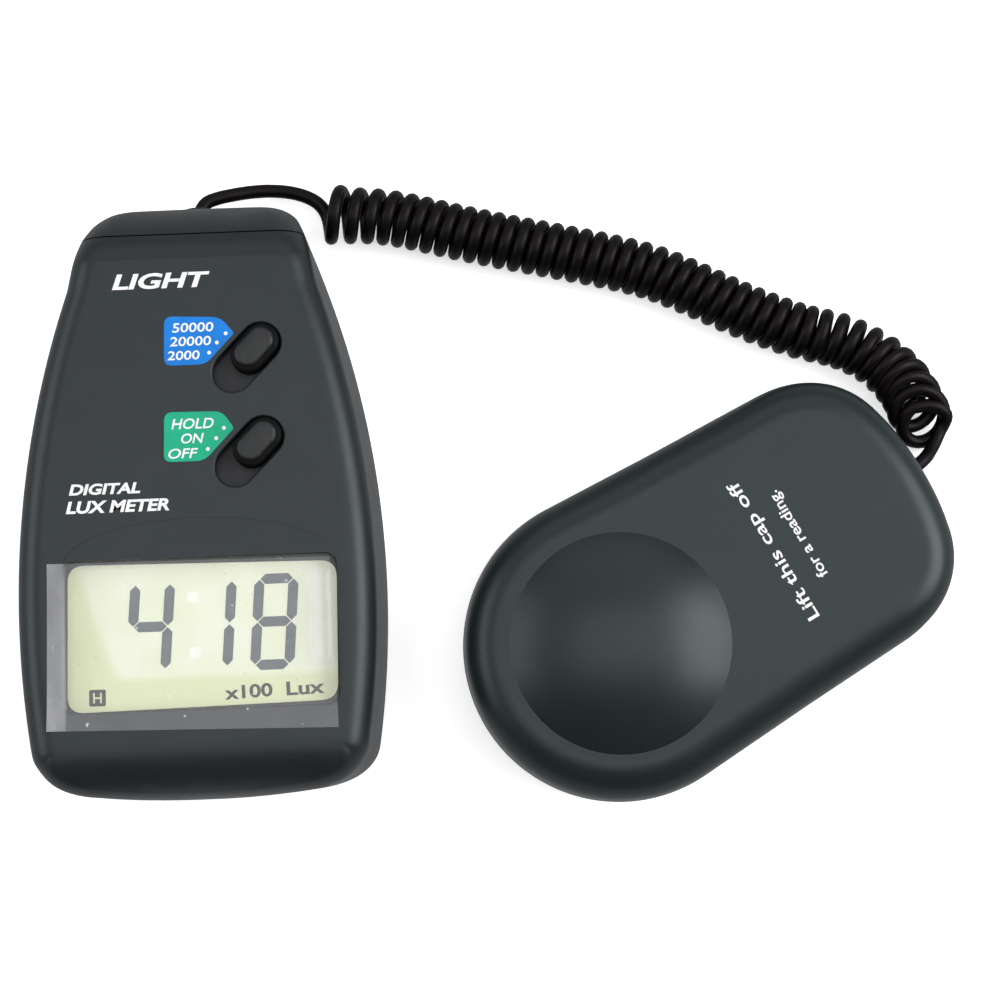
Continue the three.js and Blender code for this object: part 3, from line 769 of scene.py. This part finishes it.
def make_front_cover():
    m, o = METER, OPENING
    front = common(meter_solid("front"),
                   block(METER_ACROSS, (-70, m.seam_y - GAP / 2), (m.seam_z + GAP / 2, 40)))
    ledge = block((-29, 29), (-46.3, -12.3), (24.9, 26.6))
    bosses = [post((x, y), BOSS_RADIUS, (m.seam_z + GAP, float(meter_height(y - BOSS_RADIUS)) - 1.8))
              for x, y in BOSSES]
    opening = rounded(plate_corners(o.x, o.y, o.width, o.height), o.corner)
    cut(front, meter_solid("inside", m.wall))
    joined(front, ledge, *bosses)
    cut(front, arch_cutter(), flared(opening, UNDER_FACE, m.thickness, o.lip),
        *map(slot_cutter, SWITCHES.values()), *posts(BOSSES, SCREW_HOLE, (0, 22)))
    finished(front, "meter_front", "meter", METER_PLASTIC, ["front_cover"])


def make_rear_cover():
    m, b, d = METER, BAY, DOOR
    outer = meter_solid("rear")
    bed = common(copied(outer), block((-22.2, 22.2), (-70, d.y1 + 1.8), (0, 3.9)))
    low = block(METER_ACROSS, (-70, 70), (-5, m.seam_z - GAP / 2))
    end = block(METER_ACROSS, (m.seam_y + GAP / 2, 71), (-4, 40))
    bay = block((-b.x - b.wall, b.x + b.wall), (b.y0 - b.wall, b.y1 + b.wall), (1, b.top + b.wall))
    half = d.half_width + GAP
    panel = rounded(plate_corners(0, 6, 40, 44), 2.5)
    rear = common(outer, joined(low, end))
    cut(rear, meter_solid("inside", m.wall))
    joined(rear, *posts(BOSSES, 3.6, (1, m.seam_z - GAP / 2)), bed, bay)
    cut(rear, block((-half, half), (-71, d.y1 + GAP), (-5, d.thickness + GAP)),
        block((-b.x, b.x), (b.y0, b.y1), (0, b.top)), *posts(BOSSES, SCREW_HOLE, (-5, 20)),
        *posts(BOSSES, SCREW_RECESS, (-5, 3)), slab(panel, -3, 0.3),
        tube("hole", np.array([(-0.6, 50, 6.5), (-0.6, 60, 6.5), (-0.6, 70, 6.5)]), CORD_HOLE, 40))
    finished(rear, "meter_rear", "meter", REAR_PLASTIC, ["rear_cover"])


def make_battery_door():
    half = DOOR.half_width
    door = common(meter_solid("door"), block((-half, half), (-70, DOOR.y1), (-1, DOOR.thickness)))
    for i in range(6):
        groove = rounded(plate_corners(0, -37.4 - i * 2.0, 18 - i * 2.2, 0.9), 0.4)
        cut(door, slab(groove, -2, 0.5))
    finished(door, "battery_cover", "door", REAR_PLASTIC, ["battery_door"])


make_front_cover()
make_rear_cover()
make_battery_door()


# ---- Screws, bushes and cell ----

def screw_solid(head, shoulder, tip):
    """A pan-head screw driven upwards from under its head."""
    r = SCREW_HEAD
    profile = [(r * 0.72, head), (r * 0.93, head + 0.25), (r, head + 0.7), (r, shoulder), (1.2, shoulder),
               (1.2, tip - 1.5), (0.3, tip)]
    body = lathe(profile, sides=40)
    arms = [block((-1.5, 1.5), (-0.35, 0.35), (head - 1, head + 0.9)),
            block((-0.35, 0.35), (-1.5, 1.5), (head - 2, head + 0.91))]
    return cut(body, *arms)


def make_screws():
    kinds = (("meter", "case", BOSSES, (0.9, 2.7, 20), 0.3, 0.7),
             ("sensor", "sensor", SENSOR_SCREWS, (0.7, 2.4, 14.8), 0, 0.5))
    for unit, node, places, heights, turn, more in kinds:
        for i, (x, y) in enumerate(places):
            finished(screw_solid(*heights), f"screw_{unit}_{i + 1}", unit, STEEL,
                     [f"{node}_screw_{i + 1}"], placed(x, y, turn=turn + more * i))


def bush_solid(length):
    """A rubber bush with rounded flanges each side of the wall, standing on its inner end."""
    profile = [(1.7, 0), (3.2, 0), (3.55, 0.2), (3.6, 0.5), (3.5, 0.7), (2.7, 0.8), (2.7, length - 0.8),
               (3.5, length - 0.7), (3.6, length - 0.45), (3.4, length - 0.15), (2.9, length),
               (1.7, length)]
    body = lathe(profile, sides=48)
    return cut(body, post((0, 0), 1.65, (-2, length + 2)))


def make_bushes():
    upright = placed(-0.6, METER.top - 3, 6.5, -math.pi / 2, "X")
    finished(bush_solid(4), "bush_meter", "meter", BUSH_RUBBER, ["meter_cord_bush"], upright)
    along = placed(SENSOR.end - 2.8, 0, SENSOR.cord_height, math.pi / 2, "Y")
    finished(bush_solid(3.8), "bush_sensor", "sensor", BUSH_RUBBER, ["sensor_cord_bush"], along)


def make_cell():
    """A slim 12 V cell: a jacket with turned-in ends, and its raised cap."""
    c, r, end = CELL, CELL.radius, CELL.length
    profile = [(r - 1.2, 0), (r - 0.4, 0.05), (r - 0.05, 0.35), (r, 0.8), (r, end - 1.8),
               (r - 0.1, end - 1.35), (r - 0.5, end - 1.05), (2.1, end - 1), (1.8, end - 0.9),
               (1.8, end - 0.25), (1.5, end)]
    lying = placed(c.x0, c.y, c.z, math.pi / 2, "Y")
    finished(lathe(profile), "cell", "meter", CELL_JACKET, ["battery_cell"], lying)


make_screws()
make_bushes()
make_cell()


# ---- Meter: display ----

INK = 0.03  # how thick printing is
LCD_TOP = 24.6
LCD_CORNERS = [(-24.5, -41.2), (26.0, -40.4), (26.4, -14.3), (-24.2, -13.5)]


def seven_segments(width, height, thick, shown):
    """The bars of one digit, in a cell that starts at the origin. Each bar has pointed ends."""
    t = thick / 2
    x = (t, width - t)
    y = (t, height / 2, height - t)
    ends = dict(a=(0, 2, 1, 2), b=(1, 1, 1, 2), c=(1, 0, 1, 1), d=(0, 0, 1, 0), e=(0, 0, 0, 1),
                f=(0, 1, 0, 2), g=(0, 1, 1, 1))
    bars = []
    for name in shown:
        i0, j0, i1, j1 = ends[name]
        x0, y0, x1, y1 = x[i0], y[j0], x[i1], y[j1]
        length, gap = max(x1 - x0, y1 - y0), 0.15
        end = length - gap
        bar = [(gap, 0), (gap + t, -t), (end - t, -t), (end, 0), (end - t, t), (gap + t, t)]
        bars.append(turned_by(bar, math.atan2(y1 - y0, x1 - x0), (x0, y0)))
    return bars


def make_digits():
    lean, thick, ink = 0.075, 1.9, LCD_TOP + 0.05
    digits = {"four": ((-13.7, -34.5), (8.4, 17.9), "bcfg"), "one": ((-2.1, -34.4), (8.4, 17.9), "bc"),
              "eight": ((9.6, -34.4), (8.3, 18.0), "abcdefg")}
    for name, (corner, (width, height), shown) in digits.items():
        for k, bar in enumerate(seven_segments(width, height, thick, shown)):
            sheared = bar + np.column_stack([bar[:, 1] * lean, np.zeros(len(bar))]) + corner
            finished(slab(sheared, LCD_TOP, ink), f"digit_{name}_{shown[k]}", "meter", SEGMENT_GREY)


def words(name, text, corner, width, height, z, material, body="meter", turn=0.0, lean=0.0, heavy=0.0):
    """Printed words: corner is the left end of the base line, height that of a capital."""
    curve = bpy.data.curves.new(name, "FONT")
    curve.body, curve.shear, curve.offset = text, lean, heavy
    curve.extrude, curve.resolution_u = 0.5, 4
    source = link(name, curve)
    mesh = evaluated(source)
    bpy.data.objects.remove(source)
    points = np.array([v.co for v in mesh.vertices])
    points[:, 0] = (points[:, 0] - points[:, 0].min()) * width / np.ptp(points[:, 0])
    points[:, 1] *= height / points[:, 1].max()
    flat = turned_by(points[:, :2], turn, corner)
    points = np.column_stack([flat, z + INK * (points[:, 2] + 0.5)])
    mesh.vertices.foreach_set("co", points.ravel())
    finished(link(name, mesh), name, body, material)


def make_display():
    o, glass_outline = OPENING, rounded(plate_corners(0.9, -28.5, 54, 31), 0.6)
    glass = slab(glass_outline, 22.6, LCD_TOP)
    finished(glass, "lcd_glass", "meter", LCD_GLASS, ["lcd_panel"])
    # A black frame round the LCD: the strip of it seen along the top of the opening is painted shade for
    # the opening's shadowed upper wall.
    painted_shade_strip = slab(glass_outline, LCD_TOP + 0.02, LCD_TOP + 0.2)
    cut(painted_shade_strip, slab(rounded(LCD_CORNERS, 3.2), LCD_TOP - 1, LCD_TOP + 1))
    finished(painted_shade_strip, "lcd_painted_shade_strip", "meter", FRAME_PLASTIC)
    pane = slab(rounded(plate_corners(o.x, o.y, o.width - GAP, o.height - GAP), 2.4), 26.6, 27.5)
    finished(pane, "window_pane", "meter", WINDOW, ["display_window"])
    make_digits()
    z = LCD_TOP
    words("legend_times", "x100", (4.9, -39.6), 8.9, 2.45, z, LEGEND_GREY, turn=0.04, heavy=0.025)
    words("legend_lux", "Lux", (16.4, -39.25), 7.1, 2.5, z, LEGEND_GREY, turn=0.03, heavy=0.025)
    x, y = -18.9, -38.45
    badge = slab(rounded(plate_corners(x, y, 3.1, 3.1), 0.35), z, z + INK)
    finished(badge, "hold_badge", "meter", LEGEND_GREY)
    words("hold_letter", "H", (x - 0.8, y - 0.95), 1.6, 1.9, z + INK, LCD_GLASS, heavy=0.01)


def film_height(x, y):
    """Lies flat but for a soft ridge near its right edge and a slight lift of two corners."""
    ridge = 0.22 * math.exp(-((x - 23.6) / 1.6) ** 2) * math.exp(-((y + 27) / 9) ** 2)
    lift = 0.5 * math.exp(-((x + 27.5) ** 2 + (y + 44.5) ** 2) / 9)
    lift += 0.25 * math.exp(-((x + 27.3) ** 2 + (y + 13.6) ** 2) / 7)
    ripple = 0.03 * math.sin(x * 0.9) * math.sin(y * 0.55 + 1)
    return METER.thickness + 0.07 + ridge + lift + ripple


def make_film():
    """A thin protective film laid over the window, a little askew."""
    corners = np.array([(-27.6, -44.4), (26.2, -45.6), (25.4, -13.9), (-27.3, -13.4)])
    columns, rows, thick = 72, 44, 0.08
    verts, faces = [], []
    for level in (0, thick):
        for j in range(rows + 1):
            left, right = (a + (b - a) * j / rows for a, b in (corners[[0, 3]], corners[[1, 2]]))
            verts += [(x, y, film_height(x, y) + level) for x, y in np.linspace(left, right, columns + 1)]
    low, high = np.arange(len(verts)).reshape(2, rows + 1, columns + 1)
    for j in range(rows):
        for i in range(columns):
            faces.append((low[j + 1, i], low[j + 1, i + 1], low[j, i + 1], low[j, i]))
            faces.append((high[j, i], high[j, i + 1], high[j + 1, i + 1], high[j + 1, i]))
    edge = [*low[0, :-1], *low[:-1, -1], *low[-1, :0:-1], *low[:0:-1, 0]]
    for a, b in zip(edge, edge[1:] + edge[:1]):
        faces.append((a, b, b + low.size, a + low.size))
    finished(solid("film", verts, faces), "window_film", "meter", FILM, ["display_film"])


make_display()
make_film()


# ---- Meter: printing ----

def make_printing():
    face = METER.thickness
    ink = face + 0.035
    labels = {
        "range": (LABEL_BLUE, [(-4.86, 23.4), (3.0, 23.4), (8.5, 29.2), (5.9, 32.4), (-4.7, 32.9)]),
        "power": (LABEL_GREEN, [(-5.2, 5.0), (2.4, 5.0), (8.1, 11.0), (5.9, 14.3), (-5.0, 14.5)]),
    }
    for name, (material, corners) in labels.items():
        outline = rounded(corners, [1.5, 1.6, 0.5, 1.6, 1.6])
        finished(slab(outline, face - 0.05, ink), f"label_{name}", "meter", material)
    lines = {
        "range_high": ("50000", (-3.2, 29.75), 7.8, 1.75),
        "range_middle": ("20000", (-3.7, 27.1), 7.8, 1.75),
        "range_low": ("2000", (-4.2, 24.45), 6.1, 1.7), "power_hold": ("HOLD", (-3.7, 11.2), 8.0, 1.95),
        "power_on": ("ON", (-1.9, 8.45), 4.3, 1.85), "power_off": ("OFF", (-4.35, 5.65), 5.6, 1.85),
    }
    for name, (text, corner, width, height) in lines.items():
        lean = 0.22 if name.startswith("power") else 0.08
        words(f"print_{name}", text, corner, width, height, ink, PRINT_WHITE, lean=lean, heavy=0.012)
    dots = [(6.9, 29.2), (5.2, 27.5), (3.7, 25.6), (6.2, 11.1), (4.7, 9.2), (3.1, 7.2)]
    for i, place in enumerate(dots):
        finished(post(place, 0.36, (ink, ink + INK), 24), f"print_dot_{i + 1}", "meter", PRINT_WHITE)
    words("print_title", "LIGHT", (-14.5, 38.5), 18.6, 2.9, face, PRINT_WHITE, lean=0.22, heavy=0.03)
    words("print_kind", "DIGITAL", (-23.1, -0.55), 13.4, 2.0, face, PRINT_WHITE, lean=0.2, heavy=0.035)
    words("print_kind_2", "LUX METER", (-23.7, -4.0), 19.4, 2.2, face, PRINT_WHITE, lean=0.2, heavy=0.035)


make_printing()


# ---- Meter: slide switches ----

def knob_foot():
    """The foot and stem on the switch, and the skirt that closes the slot from below."""
    foot = block((-4.2, 4.2), (-3.6, 3.6), (21.2, 23.4))
    stem = block((-2.6, 2.6), (-1.7, 1.7), (23.3, 25))
    return joined(foot, stem, slab(stadium(21, 9.2), 24.8, 25.6))


def make_knobs():
    for name, (x, y) in SWITCHES.items():
        place = placed(x, y, turn=SLOT.turn) @ placed(SLIDER_TRAVEL / 2, 0)
        # The grip, darker than the pad, carries painted shade on the knob's sides.
        parts = {"foot": (knob_foot(), SKIRT_PLASTIC, [f"{name}_knob"]),
                 "grip": (button(stadium(10.4, 6.6), 25.5, 28.9, 0.8), KNOB_SHADED_SIDES, []),
                 "pad": (button(stadium(8.6, 5.0), 28.7, 30, 0.7, crown=0.12), KNOB_PLASTIC, [])}
        for part, (obj, material, nodes) in parts.items():
            finished(obj, f"slider_{part}_{name}", f"{name}_slider", material, nodes,
                     place)


make_knobs()


# ---- Sensor ----

def sensor_outline(inset=0.0):
    """The half outline runs from the cord end to the middle of the round end, and is then mirrored."""
    radius, centre, end = SENSOR.round_radius, (SENSOR.round_centre, 0), SENSOR.end
    round_end = arc(centre, radius, np.linspace(math.radians(87), math.pi, 60))
    half = np.array([
        *bezier(16, (end, 0), (end, 7), (48, 13)),
        *bezier(26, (48, 13), (46, 22.5), (38, 27.6), (29, 27.85)),
        *bezier(16, (29, 27.85), (6, 28.75)),
        *bezier(12, (6, 28.75), round_end[0]),
        *round_end,
    ])
    outline = even_outline(half[:, ::-1], 320)[:, ::-1]
    return outline + inward(outline) * inset


def flat_top(height):
    return lambda y: np.full(np.shape(y), float(height))


CUPOLA = (SENSOR.round_centre, 0)  # the middle of the dome


def above_seam():
    return block(*SENSOR_ACROSS, (SENSOR.seam + GAP, 60))


def make_cap():
    wall, top, fillet = CAP.wall, CAP.top, CAP.fillet
    radius, height = CAP.dome_radius, CAP.dome_height
    outer = body_solid("cap", sensor_outline(), flat_top(top), fillet, belt=SENSOR.seam, taper=CAP.taper)
    lip = [(radius + 1.5, top - 1.2), (radius + 1.5, top), (radius + 0.5, top + 0.12)]
    joined(outer, lathe([*lip, *dome_profile(radius, height, top + 0.1)], CUPOLA, 160))
    cap = common(outer, above_seam())
    hollow = body_solid("hollow", sensor_outline(wall), flat_top(top - wall), fillet - wall, base=-5)
    under = [(radius - wall, top - wall - 2), *dome_profile(radius - wall, height, top - wall)]
    cut(cap, hollow, lathe(under, CUPOLA, 96))
    finished(cap, "cap", "cap", SENSOR_PLASTIC, ["sensor_cap"])
    for i, (text, corner, length, size) in enumerate((("Lift this cap off", (15.9, -14.9), 30.0, 2.35),
                                                      ("for a reading.", (21.5, -9.0), 18.7, 2.1))):
        words(f"print_cap_{i + 1}", text, corner, length, size, top, PRINT_WHITE, "cap", turn=math.pi / 2,
              heavy=0.012)


def make_sensor_shells():
    s, screws = SENSOR, SENSOR_SCREWS
    base = body_solid("base", sensor_outline(), flat_top(24), 2)
    common(base, block(*SENSOR_ACROSS, (-1, s.seam)))
    cut(base, body_solid("hollow", sensor_outline(s.wall), flat_top(30), 1, base=s.wall, base_edge=0.7))
    joined(base, *posts(screws, BOSS_RADIUS, (1, s.seam - 0.1)))
    hole = np.array([(s.end + x, 0, s.cord_height) for x in (-8, 0, 8)])
    cut(base, *posts(screws, SCREW_HOLE, (-5, 30)), *posts(screws, SCREW_RECESS, (-5, 2.7)),
        tube("hole", hole, CORD_HOLE, 40))
    finished(base, "sensor_lower", "sensor", SENSOR_PLASTIC, ["sensor_base"])
    upper = body_solid("upper", sensor_outline(s.top_inset), flat_top(s.top), 1.2)
    ceiling = s.top - s.wall
    common(upper, above_seam())
    cut(upper, body_solid("hollow", sensor_outline(s.top_inset + s.wall), flat_top(ceiling), 0.4, base=-5))
    joined(upper, *posts(screws, 2.8, (s.seam + GAP, ceiling + 0.1)))
    cut(upper, flared(circle(CUPOLA, DIFFUSER.radius + GAP, 120), 0, s.top, 0.4),
        *posts(screws, SCREW_HOLE, (0, 15.2)))
    finished(upper, "sensor_upper", "sensor", SENSOR_PLASTIC, ["sensor_top"])


def make_diffuser():
    d = DIFFUSER
    rise = d.top - d.neck
    outside = [(d.flange, d.bottom), (d.flange, d.bottom + 1.2), (d.radius, d.bottom + 1.2),
               *dome_profile(d.radius, rise, d.neck)]
    dome = lathe(outside, CUPOLA, 120)
    inner = d.radius - d.wall
    inside = [(inner, d.bottom - 3), *dome_profile(inner, rise - d.wall * 0.8, d.neck - 0.3)]
    cut(dome, lathe(inside, CUPOLA, 96))
    finished(dome, "diffuser", "sensor", DIFFUSER_WHITE, ["diffuser_dome"])


make_cap()
make_sensor_shells()
make_diffuser()


# ---- Inner pieces that keep their CAD shape ----

INNER = (
    (FRAME_PLASTIC, "lcd_frame"), (BUSH_RUBBER, "zebra_strip"), (BOARD_GREEN, "main_board sensor_board"),
    (CHIP_BLACK, "converter_chip"), (TRIMMER_BLUE, "calibration_trimmer_1 calibration_trimmer_2"),
    (STEEL, "board_screw_1 board_screw_2 range_switch_can power_switch_can"),
    (PHENOLIC, "range_switch_base power_switch_base"),
    (NICKEL, "battery_spring battery_contact photodiode"), (FILTER_GREEN, "filter_disc"),
)
for material, node_names in INNER:
    for node_name in node_names.split():
        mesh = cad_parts[node_name].data
        mesh.materials.clear()
        mesh.materials.append(material)


# ---- Floor and light ----

def softbox(name, place, target, size, radiance):
    """A large soft light that the camera doesn't see. Its power follows from its radiance."""
    data = bpy.data.lights.new(name, "AREA")
    data.shape = "RECTANGLE"
    data.size, data.size_y = size
    data.energy = radiance * math.pi * size[0] * size[1]
    light = link(name, data)
    turn = (Vector(target) - Vector(place)).to_track_quat("-Z", "Y").to_matrix().to_4x4()
    light.matrix_world = Matrix.Translation(place) @ turn
    light.visible_camera = False


def glowing(name, strength):
    material, tree, shader = new_material(name)
    shader.inputs["Emission Color"].default_value = (1, 1, 1, 1)
    shader.inputs["Emission Strength"].default_value = strength
    return material, tree, shader


def make_studio():
    middle = (0.06, 0, 0)
    softbox("overhead", (0.06, 0.05, 1.15), (0.06, 0.03, 0), (1.25, 0.85), 1.8)
    softbox("back", (0.06, 0.95, 0.75), middle, (1.6, 0.75), 1.0)
    softbox("right", (1.05, 0.05, 0.7), middle, (1.0, 0.8), 5.8)
    softbox("left", (-0.95, 0.1, 0.55), middle, (1.0, 0.6), 2.8)
    world = bpy.data.worlds.new("studio")
    world.use_nodes = True
    tree = world.node_tree
    split = add(tree, "ShaderNodeSeparateXYZ", Vector=coordinates(tree, "Generated"))
    glow = ramp(tree, remap(tree, split.outputs["Z"], 0.0, 1.0, -0.25, 0.25),
                [(0.4, (0.52, 0.53, 0.54)), (0.7, (0.13, 0.135, 0.14))])
    tree.links.new(glow, tree.nodes["Background"].inputs["Color"])
    scene.world = world

    material, tree, shader = glowing("floor_white", 0.6)
    clouded(tree, shader, 3.0, (0.86, 0.86, 0.86), 0.01)
    shader.inputs["Roughness"].default_value = 0.9
    shader.inputs["Specular IOR Level"].default_value = 0.1
    floor = post((0.06, 0), 1.2, (-0.012, -0.0003), 128)
    floor.name = "floor"
    floor.data.materials.append(material)
    floor.visible_glossy = False

    material, tree, shader = glowing("backdrop_white", 1.0)
    shader.inputs["Base Color"].default_value = (0, 0, 0, 1)
    backdrop = post((0, 0), 2.9, (-0.02, 3.0), 64)
    backdrop.name = "backdrop"
    backdrop.data.materials.append(material)
    for kind in ("diffuse", "glossy", "transmission", "shadow", "volume_scatter"):
        setattr(backdrop, "visible_" + kind, False)


make_studio()
